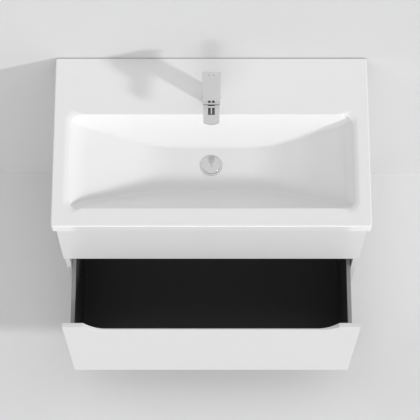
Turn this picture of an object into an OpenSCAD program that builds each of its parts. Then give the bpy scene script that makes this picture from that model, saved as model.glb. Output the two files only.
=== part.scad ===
// Freestanding bathroom vanity: ceramic basin, two-drawer cabinet, mixer, pop-up waste and trap.
// Millimetres, +Z up, the floor at Z = 0, +X to the right, +Y towards the wall.
// The lower drawer is drawn pulled out, and the origin is the centre of the footprint it then has.

/* [Basin] */
// Width of the basin
basin_w = 800; // [760:5:900]
// Depth of the basin, front edge to wall
basin_d = 458; // [440:1:500]
// Height of the basin's top above the floor
top_h = 850; // [830:5:900]
// Height of the basin's visible rim
rim_h = 37; // [30:1:45]
// Radius of the basin's upright corners
basin_corner_r = 6; // [3:1:12]
// Width of the ledge at each end of the bowl
bowl_side = 41; // [36:1:50]
// Width of the ledge in front of the bowl
bowl_front = 48; // [46:1:60]
// Depth of the deck behind the bowl
deck_d = 157; // [150:1:170]
// Depth of the bowl at the drain
bowl_depth = 93; // [86:1:105]
// Slope of the bowl's front wall from upright
front_slope = 40; // [34:1:42]
// Slope of the bowl's rear wall from upright
rear_slope = 25; // [15:1:28]
// Length of the level floor round the drain
floor_level = 210; // [160:10:260]
// Radius between the level floor and the slopes beside it
valley_r = 260; // [200:10:320]
// Radius of the cove at each end of the bowl
cove_r = 70; // [60:1:80]
// Height of the coves' centres above the basin's top
cove_over = 27; // [22:1:32]
// Radius of the bowl's corners in plan
bowl_corner_r = 28; // [20:1:34]
// Thickness of the ceramic
ceramic_t = 10; // [8:1:12]

/* [Cabinet] */
// How far each side of the cabinet lies inside the basin's end
cabinet_inset = 11; // [6:1:16]
// Thickness of the cabinet's boards
board_t = 12; // [11:1:16]
// How far the fronts lie behind the basin's front edge
front_setback = 2; // [1:1:8]
// Height of the rails that join the sides
rail_h = 90; // [70:5:110]
// Height of the legs
leg_h = 120; // [100:5:140]
// Diameter of the legs
leg_d = 40; // [30:1:50]
// Distance from the cabinet's edges to the middle of a leg
leg_inset = 50; // [40:1:70]
// Diameter of the cam locks
cam_d = 15; // [12:1:15]
// Diameter of the dowels
dowel_d = 8; // [6:1:8]

/* [Fronts] */
// Thickness of the drawer fronts
front_t = 12; // [11:1:18]
// Height of the upper front
upper_front_h = 229; // [210:1:240]
// Gap above each front
front_gap = 4; // [3:1:5]
// Width of the raised ends on both sides of the finger grip
grip_side = 55; // [40:1:80]
// Length of the curve at each end of the grip
grip_ramp = 55; // [40:1:70]
// How far the grip dips below the front's top edge
grip_dip = 29; // [20:1:34]
// Thickness of the lip that is left in front of the grip
lip_t = 5; // [4:1:8]

/* [Drawers] */
// How far the lower drawer is drawn pulled out
drawer_open = 186; // [150:1:220]
// Room between the drawer boxes and the rails behind them
rear_room = 30; // [18:1:60]
// Thickness of the drawer box's boards
box_t = 11; // [10:1:14]
// Gap between the drawer box and the cabinet's side
box_gap = 1.5; // [1.5:0.1:3]
// Room between the upper drawer's sides and the rail above them
upper_box_drop = 19; // [10:1:40]
// Distance of the lower drawer's sides below the top of their front
lower_box_drop = 106; // [60:1:130]
// Height of the grey edge profile on the drawer's sides
edge_h = 3; // [2:0.5:4]
// Width of the cut-out round the trap
cutout_w = 130; // [120:2:160]
// Room left in front of the drain by the cut-out
cutout_reach = 62; // [60:1:70]

/* [Runners] */
// Width of the runners
runner_w = 36; // [32:1:40]
// Height of the runners
runner_h = 13; // [13:0.5:15]
// Thickness of the runners' sheet steel
sheet_t = 1.2; // [1:0.1:1.4]
// Height of the upper runners above the upper front's lower edge
upper_runner_up = 12; // [10:1:16]
// Height of the lower runners above the cabinet's bottom
lower_runner_up = 14; // [10:1:20]

/* [Mixer] */
// Distance from the wall to the middle of the mixer
mixer_wall = 110; // [90:1:115]
// Diameter of the mixer's column
column_d = 47; // [44:1:50]
// Height of the mixer's column
column_h = 92; // [85:1:100]
// Reach of the spout from the middle of the column
spout_reach = 111; // [105:1:130]
// Width of the spout's tip
spout_w = 39.5; // [34:0.5:42]
// Thickness of the spout at its tip
spout_tip_t = 9; // [8:1:14]
// Length of the lever in front of its pivot
lever_front = 60; // [55:1:72]
// Thickness of the lever's plate
lever_t = 8; // [6:0.5:10]
// Width of the lever's front end
lever_tip_w = 43; // [36:0.5:44]
// Diameter of the hole for the mixer
tap_hole_d = 35; // [33:1:36]
// Diameter of the cartridge
cartridge_d = 35; // [33:1:36]

/* [Waste] */
// Distance from the basin's front edge to the middle of the drain
drain_front = 198; // [190:1:210]
// Diameter of the waste's flange
flange_d = 57; // [54:1:66]
// Diameter of the plug's cap
cap_d = 46; // [44:1:50]
// Diameter of the threaded waste body
waste_d = 42; // [40:1:44]
// Diameter of the tailpiece and the outlet pipe
pipe_d = 32; // [30:1:34]
// Diameter of the trap's bottle
bottle_d = 62; // [56:1:66]
// Distance of the outlet pipe's middle below the drain
outlet_drop = 137; // [125:1:145]

/* [Hidden] */
$fn = 64;

// Overshoot of cuts, and the gap that soft or moving neighbours keep
cut = 1;
clear = 0.3;
// Gap between the closed fronts and the cabinet, and the height of the stops in it
front_rest = 1.5;
bumper_h = 1.2;
bumper_d = 8;
sealant_t = 1;

// Lengthwise places, counted towards the wall
footprint_d = basin_d - front_setback + drawer_open;
bowl_w = basin_w - 2 * bowl_side;
y_wall = footprint_d / 2;
y_basin = y_wall - basin_d;
y_face = y_basin + front_setback;
y_box = y_face + front_t;
y_case = y_box + front_rest;
y_drain = y_basin + drain_front;
y_mixer = y_wall - mixer_wall;
box_l = y_wall - board_t - rear_room - y_box;

// Heights above the floor
z_case = top_h - rim_h - sealant_t;
z_upper_top = top_h - rim_h - front_gap;
z_upper = z_upper_top - upper_front_h;
z_lower_top = z_upper - front_gap;
z_lower = leg_h;
z_floor = leg_h + board_t;
z_upper_runner = z_upper + upper_runner_up;
z_lower_runner = z_floor + lower_runner_up;
z_upper_box = z_upper_runner + runner_h;
z_lower_box = z_lower_runner + runner_h;
z_drain = top_h - bowl_depth;
outlet_z = z_drain - outlet_drop;
upper_box_h = z_case - rail_h - upper_box_drop - z_upper_box;
lower_box_h = z_lower_top - lower_box_drop - z_lower_box;

// Widths from the middle
x_case = basin_w / 2 - cabinet_inset;
x_inner = x_case - board_t;
x_box = x_inner - box_gap;
x_store = x_box - box_t;
grip_w = 2 * (x_case - grip_side);

white = [0.93, 0.93, 0.94];
black = [0.12, 0.12, 0.13];
steel = [0.72, 0.73, 0.75];
chrome = [0.82, 0.83, 0.85];
rubber = [0.2, 0.2, 0.2];

// A block between two opposite corners
module block(low, high) {
    translate(low) cube(high - low);
}

// A plate with round upright corners, its middle at the origin's upright axis
module round_plate(w, d, h, r) {
    translate([-w / 2 + r, -d / 2, 0]) cube([w - 2 * r, d, h]);
    translate([-w / 2, -d / 2 + r, 0]) cube([w, d - 2 * r, h]);
    for (sx = [-1, 1], sy = [-1, 1])
        translate([sx * (w / 2 - r), sy * (d / 2 - r), 0]) cylinder(h = h, r = r);
}

// A cylinder that runs along X or along Y from the place where it is put
module rod_x(d, l) {
    rotate([0, 90, 0]) cylinder(h = l, d = d);
}
module rod_y(d, l) {
    rotate([-90, 0, 0]) cylinder(h = l, d = d);
}

// What is drawn once on the right is drawn again on the left
module both_sides() {
    children();
    mirror([1, 0, 0]) children();
}

// Basin: a bowl is what lies inside its side profile, its long profile and its plan outline.
// Each takes the thickness by which it is grown, so the ceramic shell follows the bowl.

// Side profile: a wedge between the sloping front and rear walls
module bowl_wedge(grow) {
    y_front_rim = y_basin + bowl_front;
    y_rear_rim = y_wall - deck_d;
    reach = bowl_depth + grow + cut;
    front_grow = grow / cos(front_slope);
    rear_grow = grow / cos(rear_slope);
    rotate([90, 0, 90]) translate([0, 0, -basin_w / 2]) linear_extrude(basin_w)
        polygon([
            [y_front_rim - front_grow, top_h + cut],
            [y_front_rim - front_grow, top_h],
            [y_front_rim - front_grow + reach * tan(front_slope), top_h - reach],
            [y_rear_rim + rear_grow - reach * tan(rear_slope), top_h - reach],
            [y_rear_rim + rear_grow, top_h],
            [y_rear_rim + rear_grow, top_h + cut]]);
}

// Long profile: a level floor, a bend and a straight slope on each side of it, and a cove at each end
cove_x = bowl_w / 2 - sqrt(cove_r * cove_r - cove_over * cove_over);
cove_z = top_h + cove_over;
valley_z = z_drain + valley_r;
bend_x = floor_level / 2;
centre_angle = atan2(cove_z - valley_z, cove_x - bend_x);
centre_gap = norm([cove_x - bend_x, cove_z - valley_z]);
floor_angle = centre_angle + asin((valley_r - cove_r) / centre_gap);

// The level floor and the slopes lie this much inside the true tangents of the bends, and so cross them
slope_lift = 0.2;
valley_reach = 20;
module bowl_valley(grow) {
    y_low = y_basin - cut;
    length = basin_d + 2 * cut;
    r_cove = cove_r + grow;
    r_valley = valley_r + grow;
    tangent = [sin(floor_angle), -cos(floor_angle)];
    cove_touch = [cove_x, cove_z] + (r_cove - slope_lift) * tangent;
    valley_touch = [bend_x, valley_z] + (r_valley - slope_lift) * tangent;
    valley_edge = valley_touch[0] + valley_reach;
    z_level = z_drain - grow + slope_lift;
    both_sides() intersection() {
        translate([bend_x, y_low, valley_z]) rod_y(2 * r_valley, length, $fn = 256);
        block([0, y_low, z_drain - grow - cut],
              [valley_edge, y_low + length, valley_touch[1] + valley_reach * tan(floor_angle)]);
    }
    translate([0, y_low + length, 0]) rotate([90, 0, 0]) linear_extrude(length)
        polygon([
            [-cove_x, top_h + cut], [-cove_touch[0], cove_touch[1]],
            [-valley_touch[0], valley_touch[1]], [-bend_x, z_level],
            [bend_x, z_level], [valley_touch[0], valley_touch[1]],
            [cove_touch[0], cove_touch[1]], [cove_x, top_h + cut]]);
    for (side = [-1, 1])
        intersection() {
            translate([side * cove_x, y_low, cove_z]) rod_y(2 * r_cove, length);
            block([-basin_w, y_low, z_drain], [basin_w, y_low + length, top_h + cut]);
        }
}

// Plan outline: a long rectangle with round corners
module bowl_plan(grow) {
    rim_d = basin_d - bowl_front - deck_d;
    translate([0, y_basin + bowl_front + rim_d / 2, z_drain - grow - 2 * cut])
        round_plate(bowl_w + 2 * grow, rim_d + 2 * grow / cos(front_slope),
                    bowl_depth + grow + 3 * cut, bowl_corner_r + grow);
}

module bowl(grow) {
    intersection() {
        bowl_wedge(grow);
        bowl_valley(grow);
        bowl_plan(grow);
    }
}

// Flat seat and boss for the waste
seat_depth = 3;
boss_h = 14;
boss_rim = 9;
boss_d = flange_d + 2 * boss_rim;
waste_play = 1.5;
waste_bore = waste_d + 2 * waste_play;
z_boss = z_drain - ceramic_t - boss_h;
// The hollow under the deck, which leaves a foot that rests on the cabinet's sides and back
deck_extra = 2;
deck_t = ceramic_t + deck_extra;
foot_over = 8;
hollow_x = x_inner - foot_over;
hollow_back = board_t + foot_over;

module basin() color(white) difference() {
    union() {
        translate([0, y_wall - basin_d / 2, top_h - rim_h])
            round_plate(basin_w, basin_d, rim_h, basin_corner_r);
        intersection() {
            bowl(ceramic_t);
            block([-basin_w / 2, y_basin, z_boss], [basin_w / 2, y_wall, top_h - cut]);
        }
        translate([0, y_drain, z_boss]) cylinder(h = boss_h + ceramic_t, d = boss_d);
    }
    bowl(0);
    block([-hollow_x, y_wall - deck_d + 2 * ceramic_t, top_h - rim_h - cut],
          [hollow_x, y_wall - hollow_back, top_h - deck_t]);
    translate([0, y_drain, z_drain - seat_depth]) cylinder(h = bowl_depth, d = flange_d + 2 * clear);
    translate([0, y_drain, z_boss - cut]) cylinder(h = boss_h + ceramic_t + 2 * cut, d = waste_bore);
    translate([0, y_mixer, top_h - rim_h - cut]) cylinder(h = rim_h + 2 * cut, d = tap_hole_d);
}

// Beads of sealant that the basin is bedded on
sealant_in = 2;
sealant_w = board_t - 2 * sealant_in;
module sealant_strips() color([0.9, 0.9, 0.88])
    both_sides() block([x_inner + sealant_in, y_case + board_t, z_case],
                       [x_inner + sealant_in + sealant_w, y_wall - board_t, z_case + sealant_t]);

// Cabinet joints: each is [side, y, z] of a cam bolt, with the board it locks by number
cam_back = 24;
cam_cover = 2;
cam_deep = board_t - cam_cover;
bolt_d = 6;
joint_cover = 4;
bolt_in = board_t - joint_cover;
dowel_l = 28;
dowel_in = board_t - joint_cover;
joint_gap = 0.1;
y_front_rail = y_case + board_t / 2;
y_back_rail = y_wall - board_t / 2;
z_front_rail = z_case - rail_h / 2;
z_upper_rail = z_case - rail_h / 2;
z_lower_rail = leg_h + rail_h / 2;
z_bottom = leg_h + board_t / 2;
joint_margin = 60;
bottom_joints = [y_case + joint_margin, y_wall - joint_margin];
dowel_step = 32;
rail_joints = [[y_front_rail, z_front_rail, -1], [y_back_rail, z_upper_rail, 1],
               [y_back_rail, z_lower_rail, 1]];

// Cam locks, or the bores they need, in the bottom and in the upright rails, on the right.
// proud is how far they start outside the board's face.
module cams(d, h, proud) {
    for (y = bottom_joints) translate([x_inner - cam_back, y, leg_h - proud]) cylinder(h = h + proud, d = d);
    for (j = rail_joints)
        translate([x_inner - cam_back, j[0] + j[2] * (board_t / 2 + proud), j[1]])
            rotate([j[2] * 90, 0, 0]) cylinder(h = h + proud, d = d);
}
module joint_bolts(d, from, to) {
    for (y = bottom_joints) translate([from, y, z_bottom]) rod_x(d, to - from);
    for (j = rail_joints) translate([from, j[0], j[1]]) rod_x(d, to - from);
}
module joint_dowels(d, from, to) {
    for (y = bottom_joints, s = [-1, 1])
        translate([from, y + s * dowel_step, z_bottom]) rod_x(d, to - from);
    for (j = rail_joints, s = [-1, 1])
        translate([from, j[0], j[1] + s * dowel_step]) rod_x(d, to - from);
}
// All holes of the joints, cut from every board that they reach
module joint_holes() both_sides() {
    cams(cam_d + 2 * joint_gap, cam_deep + joint_gap, cut);
    joint_bolts(bolt_d + 2 * joint_gap, x_inner - cam_back, x_inner + bolt_in + joint_gap);
    joint_dowels(dowel_d + 2 * joint_gap, x_inner - dowel_l + dowel_in - joint_gap,
                 x_inner + dowel_in + joint_gap);
}

module side_panel(side) color(white) difference() {
    scale([side, 1, 1]) block([x_inner, y_case, leg_h], [x_case, y_wall, z_case]);
    joint_holes();
}
module side_panel_left() side_panel(-1);
module side_panel_right() side_panel(1);

module bottom_panel() color(white) difference() {
    block([-x_inner, y_case, leg_h], [x_inner, y_wall - board_t, z_floor]);
    joint_holes();
    leg_screws(leg_pilot_d);
}

module rail(y, z) color(white) difference() {
    block([-x_inner, y - board_t / 2, z - rail_h / 2], [x_inner, y + board_t / 2, z + rail_h / 2]);
    joint_holes();
}
module front_rail() rail(y_front_rail, z_front_rail);
module upper_back_rail() rail(y_back_rail, z_upper_rail);
module lower_back_rail() rail(y_back_rail, z_lower_rail);

module cam_locks() color(steel) both_sides() difference() {
    cams(cam_d, cam_deep, 0);
    joint_bolts(bolt_d + 2 * joint_gap, x_inner - cam_back, x_inner);
}
module cam_bolts() color(steel) both_sides()
    joint_bolts(bolt_d, x_inner - cam_back + joint_gap, x_inner + bolt_in);
module dowels() color([0.8, 0.66, 0.45]) both_sides()
    joint_dowels(dowel_d, x_inner - dowel_l + dowel_in, x_inner + dowel_in);

// Wall brackets under the upper back rail
bracket_w = 40;
bracket_free = 10;
bracket_reach = board_t + rear_room - bracket_free;
bracket_leg = 42;
bracket_side = 90;
bracket_t = 2;
bracket_x = x_case - bracket_side;
bracket_hole_d = 6.5;
z_bracket = z_upper_rail - rail_h / 2;
module wall_brackets() color(steel) both_sides() difference() {
    union() {
        block([bracket_x - bracket_w / 2, y_wall - bracket_reach, z_bracket - bracket_t],
              [bracket_x + bracket_w / 2, y_wall, z_bracket]);
        block([bracket_x - bracket_w / 2, y_wall - bracket_t, z_bracket - bracket_leg],
              [bracket_x + bracket_w / 2, y_wall, z_bracket]);
    }
    translate([bracket_x, y_wall - bracket_t - cut, z_bracket - bracket_leg / 2])
        rod_y(bracket_hole_d, bracket_t + 2 * cut);
}

// Rubber stops on the cabinet's front edges, behind the corners of the fronts
bumper_in = 25;
bumper_z = [z_lower + bumper_in, z_lower_box + lower_box_h / 2,
            z_upper + bumper_in, z_upper_top - bumper_in];
module front_bumpers() color(rubber) both_sides()
    for (z = bumper_z) translate([x_inner + board_t / 2, y_case - bumper_h, z]) rod_y(bumper_d, bumper_h);

// Legs
leg_x = x_case - leg_inset;
leg_y = [y_case + leg_inset, y_wall - leg_inset];
leg_plate_w = 60;
leg_plate_t = 3;
leg_plate_r = 6;
leg_screw_d = 4;
leg_pilot_d = 3.5;
leg_screw_in = board_t - joint_cover;
leg_screw_step = 22;
leg_wall = 2;
foot_in = 3;
foot_d = leg_d - 2 * foot_in;
foot_h = 8;
foot_neck = 4;
spindle_d = 10;
spindle_l = 24;
// What is added to a bore for a thread that turns in it, and for a part that drops into it
screw_fit = 0.1;
drop_fit = 0.6;
module at_legs() for (side = [-1, 1], y = leg_y) translate([side * leg_x, y, 0]) children();
module leg_screws(d) at_legs() for (sx = [-1, 1], sy = [-1, 1])
    translate([sx * leg_screw_step, sy * leg_screw_step, leg_h - leg_plate_t - cut])
        cylinder(h = leg_plate_t + cut + leg_screw_in, d = d, $fn = 24);
module leg_plates() color(steel) difference() {
    at_legs() translate([0, 0, leg_h - leg_plate_t])
        round_plate(leg_plate_w, leg_plate_w, leg_plate_t, leg_plate_r);
    leg_screws(leg_screw_d);
}
z_leg = foot_h + foot_neck;
module legs() color(chrome) at_legs() difference() {
    translate([0, 0, z_leg]) cylinder(h = leg_h - leg_plate_t - z_leg, d = leg_d);
    translate([0, 0, z_leg - cut]) cylinder(h = spindle_l, d = spindle_d + screw_fit);
    translate([0, 0, z_leg + spindle_l - 2 * cut]) cylinder(h = leg_h, d = leg_d - 2 * leg_wall);
}
module leg_feet() color(rubber) at_legs() {
    cylinder(h = foot_h, d = foot_d);
    cylinder(h = foot_h + spindle_l, d = spindle_d);
}

// Runners: three nested channels of sheet steel that lie under each drawer side, on the right.
// A channel is open to the top or to the bottom, and its web and walls have the sheet's thickness.
module channel(y, l, x, z, w, h, up) {
    z_web = up ? z : z + h - sheet_t;
    block([x - w / 2, y, z_web], [x + w / 2, y + l, z_web + sheet_t]);
    for (s = [-1, 1])
        translate([x + s * (w / 2 - sheet_t / 2) - sheet_t / 2, y, z]) cube([sheet_t, l, h]);
}
flange_gap = 0.7;
ball_gap = 3.5;
runner_x = x_inner - sheet_t - flange_gap - runner_w / 2;
middle_w = runner_w - 2 * sheet_t - 2 * ball_gap;
inner_w = middle_w - 2 * sheet_t - 2 * ball_gap;
web_gap = 1.4;
rest_gap = 1;
middle_z = sheet_t + web_gap;
outer_h = runner_h - 3 * rest_gap;
middle_runner_h = runner_h - middle_z - sheet_t - clear;
inner_h = runner_h - middle_z - sheet_t - rest_gap;
flange_h = 34;
runner_foot = 4;
cage_t = ball_gap - 2 * clear;
cage_h = 5;
cage_share = 0.42;
cage_l = box_l * cage_share;

// Cabinet member, with the flange that is screwed to the side panel
module cabinet_runner(z) {
    channel(y_case + runner_foot, box_l, runner_x, z, runner_w, outer_h, true);
    block([x_inner - sheet_t, y_case + runner_foot, z],
          [x_inner, y_case + runner_foot + box_l, z + flange_h]);
    block([runner_x + runner_w / 2 - sheet_t, y_case + runner_foot, z],
          [x_inner, y_case + runner_foot + box_l, z + sheet_t]);
}
// Middle member with its ball cages: outside at the back, inside at the front
module middle_runner(y, z) {
    y_start = y + runner_foot;
    channel(y_start, box_l, runner_x, z + middle_z, middle_w, middle_runner_h, true);
    for (s = [-1, 1]) {
        translate([runner_x + s * (middle_w / 2 + cage_t / 2) - cage_t / 2,
                   y_start + box_l - cage_l - cut, z + middle_z]) cube([cage_t, cage_l, cage_h]);
        translate([runner_x + s * (inner_w / 2 + clear + cage_t / 2 + clear) - cage_t / 2,
                   y_start + cut, z + middle_z + sheet_t]) cube([cage_t, cage_l, cage_h]);
    }
}
// Drawer member
module drawer_runner(y, z) {
    channel(y + runner_foot, box_l - 2 * runner_foot, runner_x,
            z + runner_h - inner_h, inner_w, inner_h, false);
}

y_upper = y_box;
y_lower = y_box - drawer_open;
y_lower_middle = y_case - drawer_open / 2;
module upper_cabinet_runners() color(steel) both_sides() cabinet_runner(z_upper_runner);
module upper_middle_runners() color(steel) both_sides() middle_runner(y_case, z_upper_runner);
module upper_drawer_runners() color(steel) both_sides() drawer_runner(y_upper, z_upper_runner);
module lower_cabinet_runners() color(steel) both_sides() cabinet_runner(z_lower_runner);
module lower_middle_runners() color(steel) both_sides() middle_runner(y_lower_middle, z_lower_runner);
module lower_drawer_runners() color(steel) both_sides() drawer_runner(y_lower, z_lower_runner);

// Drawer boxes. y is where the box starts, behind its front.
module box_side(y, z, h) {
    block([x_store, y, z], [x_box, y + box_l, z + h - edge_h]);
}
module box_edge(y, z, h) {
    block([x_store, y, z + h - edge_h], [x_box, y + box_l, z + h]);
}
back_drop = 12;
module upper_side_right() color(black) box_side(y_upper, z_upper_box, upper_box_h);
module upper_side_left() color(black) mirror([1, 0, 0]) box_side(y_upper, z_upper_box, upper_box_h);
module lower_side_right() color(black) box_side(y_lower, z_lower_box, lower_box_h);
module lower_side_left() color(black) mirror([1, 0, 0]) box_side(y_lower, z_lower_box, lower_box_h);
module drawer_edges_upper() color(steel) both_sides() box_edge(y_upper, z_upper_box, upper_box_h);
module drawer_edges_lower() color(steel) both_sides() box_edge(y_lower, z_lower_box, lower_box_h);

// The cut-out runs from the back of the upper drawer to just in front of the drain
y_cutout = y_drain - cutout_reach;
shield_t = 3;
module upper_bottom() color(black) difference() {
    block([-x_store, y_upper, z_upper_box], [x_store, y_upper + box_l, z_upper_box + box_t]);
    block([-cutout_w / 2, y_cutout, z_upper_box - cut],
          [cutout_w / 2, y_upper + box_l + cut, z_upper_box + box_t + cut]);
}
module upper_backs() color(black) both_sides()
    block([cutout_w / 2 + shield_t, y_upper + box_l - box_t, z_upper_box + box_t],
          [x_store, y_upper + box_l, z_upper_box + upper_box_h - back_drop]);
module upper_shield() color(black) difference() {
    block([-cutout_w / 2 - shield_t, y_cutout - shield_t, z_upper_box + box_t],
          [cutout_w / 2 + shield_t, y_upper + box_l, z_upper_box + upper_box_h - back_drop]);
    block([-cutout_w / 2, y_cutout, z_upper_box],
          [cutout_w / 2, y_upper + box_l + cut, z_upper_box + upper_box_h]);
}
module lower_bottom() color(black)
    block([-x_store, y_lower, z_lower_box], [x_store, y_lower + box_l, z_lower_box + box_t]);
module lower_back() color(black)
    block([-x_store, y_lower + box_l - box_t, z_lower_box + box_t],
          [x_store, y_lower + box_l, z_lower_box + lower_box_h - back_drop]);

// Angle brackets between a front and the sides of its box
angle_w = 20;
angle_h = 60;
angle_t = 2;
angle_up = 8;
angle_down = 40;
module front_angles(y, z) both_sides() {
    block([x_store - angle_t, y, z], [x_store, y + angle_w, z + angle_h]);
    block([x_store - angle_w, y, z], [x_store, y + angle_t, z + angle_h]);
}
module upper_brackets() color(steel) front_angles(y_upper, z_upper_box + box_t + angle_up);
module lower_brackets() color(steel) front_angles(y_lower, z_lower_box + lower_box_h - angle_h - angle_down);

// Outline of the finger grip: level in the middle, and a parabola up to each raised end. share is the
// part of its drops that is drawn.
ramp_steps = 12;
function grip_drop(t) = grip_dip * (1 - (1 - t) * (1 - t));
module grip_outline(share) {
    ramp = [for (i = [0:ramp_steps])
            [grip_w / 2 - grip_ramp * i / ramp_steps, -share * grip_drop(i / ramp_steps)]];
    mirrored = [for (i = [ramp_steps:-1:0]) [-ramp[i][0], ramp[i][1]]];
    polygon(concat([[grip_w / 2, grip_dip]], ramp, mirrored, [[-grip_w / 2, grip_dip]]));
}
// The grip is the outline cut straight through, and again falling steeply behind the lip. The second
// cut starts at the rear face, and reaches the lip's thickness as the outline reaches its lowest place.
grip_slope = 78;
grip_share = cos(grip_slope) + sin(grip_slope) * (front_t - lip_t) / grip_dip;
module lower_front() color(white) difference() {
    block([-x_case, y_lower - front_t, z_lower], [x_case, y_lower, z_lower_top]);
    translate([0, y_lower + cut, z_lower_top]) rotate([90, 0, 0]) linear_extrude(front_t + 2 * cut)
        grip_outline(1);
    translate([0, y_lower, z_lower_top]) rotate([-90 - grip_slope, 0, 0]) mirror([0, 1, 0])
        linear_extrude((front_t + grip_dip) / cos(grip_slope)) grip_outline(grip_share);
}
// The upper front is pulled by its lower edge, which is bevelled behind for the fingers
pull_bevel = 7;
module upper_front() color(white) difference() {
    block([-x_case, y_upper - front_t, z_upper], [x_case, y_upper, z_upper_top]);
    translate([-grip_w / 2, 0, 0]) rotate([90, 0, 90]) linear_extrude(grip_w)
        polygon([[y_upper - pull_bevel, z_upper - clear], [y_upper + clear, z_upper - clear],
                 [y_upper + clear, z_upper + pull_bevel]]);
}

// Mixer, from the deck up. Its own height is counted from the deck.
gasket_t = 1.5;
z_column = top_h + gasket_t;
z_column_top = z_column + column_h;
bore_d = cartridge_d + 2 * clear;
cartridge_h = 36;
cartridge_top_in = 14;
cartridge_low = column_h - cartridge_top_in - cartridge_h;
nut_h = 9;
spout_deep = 16;
spout_in = 2;
tip_ratio = 1.05;
pocket_w = 17;
pocket_l = 34;
pocket_deep = 3.5;
pocket_front = 24;
aerator_d = 24;
aerator_back = 17;
aerator_h = 7;
aerator_in = 3.5;
aerator_rim = 3;
module spout_side() {
    rotate([90, 0, 90]) translate([0, 0, -column_d / 2]) linear_extrude(column_d)
        polygon([[0, column_h - spout_deep], [-column_d / 2, column_h - spout_deep],
                 [-spout_reach + aerator_back + aerator_d, column_h - spout_tip_t],
                 [-spout_reach, column_h - spout_tip_t], [-spout_reach, column_h],
                 [0, column_h]]);
}
module spout_plan() {
    tip_r = spout_w * tip_ratio;
    back_w = column_d - 2 * spout_in;
    intersection() {
        linear_extrude(column_h + cut)
            polygon([[-back_w / 2, 0], [back_w / 2, 0],
                     [spout_w / 2, -spout_reach], [-spout_w / 2, -spout_reach]]);
        union() {
            translate([0, -spout_reach + tip_r, 0]) cylinder(h = column_h + cut, r = tip_r, $fn = 128);
            block([-column_d, -spout_reach + tip_r / 2, 0], [column_d, 0, column_h + cut]);
        }
    }
}
module mixer_body() color(chrome) translate([0, y_mixer, z_column]) difference() {
    union() {
        cylinder(h = column_h, d = column_d);
        intersection() {
            spout_side();
            spout_plan();
        }
    }
    translate([0, 0, cartridge_low]) cylinder(h = column_h, d = bore_d);
    translate([0, 0, -cut]) cylinder(h = stud_in + cut, d = stud_d);
    translate([0, -spout_reach + aerator_back, column_h - spout_tip_t - cut])
        cylinder(h = aerator_in + cut, d = aerator_d + 2 * clear);
    block([-pocket_w / 2, -spout_reach + pocket_front, column_h - pocket_deep],
          [pocket_w / 2, -spout_reach + pocket_front + pocket_l, column_h + cut]);
}
module aerator() color(steel) translate([0, y_mixer - spout_reach + aerator_back,
                                         z_column_top - spout_tip_t - aerator_h + aerator_in])
    difference() {
        cylinder(h = aerator_h, d = aerator_d);
        translate([0, 0, -cut]) cylinder(h = cut + aerator_rim, d = aerator_d - 2 * aerator_rim);
    }
module mixer_gasket() color(rubber) translate([0, y_mixer, top_h]) difference() {
    cylinder(h = gasket_t, d = column_d - cut);
    translate([0, 0, -cut]) cylinder(h = gasket_t + 2 * cut, d = stud_d + drop_fit);
}
// Stud, clamp plate and nut that hold the mixer from below the deck
stud_d = 12;
stud_in = 16;
z_deck_under = top_h - deck_t;
clamp_d = 50;
clamp_t = 3;
mixer_nut_h = 8;
mixer_nut_w = 22;
stud_tail = 12;
module mixer_stud() color(steel)
    translate([0, y_mixer, z_deck_under - clamp_t - mixer_nut_h - stud_tail])
        cylinder(h = gasket_t + stud_in + deck_t + clamp_t + mixer_nut_h + stud_tail, d = stud_d);
module mixer_clamp() color(steel) translate([0, y_mixer, z_deck_under - clamp_t]) difference() {
    cylinder(h = clamp_t, d = clamp_d);
    translate([0, 0, -cut]) cylinder(h = clamp_t + 2 * cut, d = stud_d + drop_fit);
}
module mixer_nut() color([0.8, 0.68, 0.36])
    translate([0, y_mixer, z_deck_under - clamp_t - mixer_nut_h]) difference() {
        cylinder(h = mixer_nut_h, d = mixer_nut_w, $fn = 6);
        translate([0, 0, -cut]) cylinder(h = mixer_nut_h + 2 * cut, d = stud_d + screw_fit);
    }
spindle_hole = 21;
cup_in = 14;
module mixer_cartridge() color([0.9, 0.9, 0.9])
    translate([0, y_mixer, z_column + cartridge_low]) difference() {
        cylinder(h = cartridge_h, d = cartridge_d);
        translate([0, 0, cartridge_h - cup_in]) cylinder(h = cup_in + cut, d = spindle_hole);
    }
module cartridge_nut() color([0.8, 0.68, 0.36])
    translate([0, y_mixer, z_column + cartridge_low + cartridge_h]) difference() {
        cylinder(h = nut_h, d = cartridge_d);
        translate([0, 0, -cut]) cylinder(h = nut_h + 2 * cut, d = spindle_hole);
    }
// Lever carrier: turns in the cartridge, and carries the lever's pin on a post
carrier_d = column_d - 2 * spout_in;
carrier_t = 4;
carrier_up = clear;
post_w = 14;
post_d = 14;
post_over = 4;
pin_d = 4;
pin_up = 13;
z_pivot = z_column_top + pin_up;
stem_d = spindle_hole - screw_fit;
stem_l = 24;
module lever_carrier() color(chrome) translate([0, y_mixer, z_column_top + carrier_up]) difference() {
    union() {
        cylinder(h = carrier_t, d = carrier_d);
        translate([0, 0, -stem_l]) cylinder(h = stem_l + cut, d = stem_d);
        block([-post_w / 2, -post_d / 2, 0], [post_w / 2, post_d / 2, pin_up - carrier_up + post_over]);
    }
    translate([-column_d / 2, 0, pin_up - carrier_up]) rod_x(pin_d + screw_fit, column_d);
}
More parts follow.
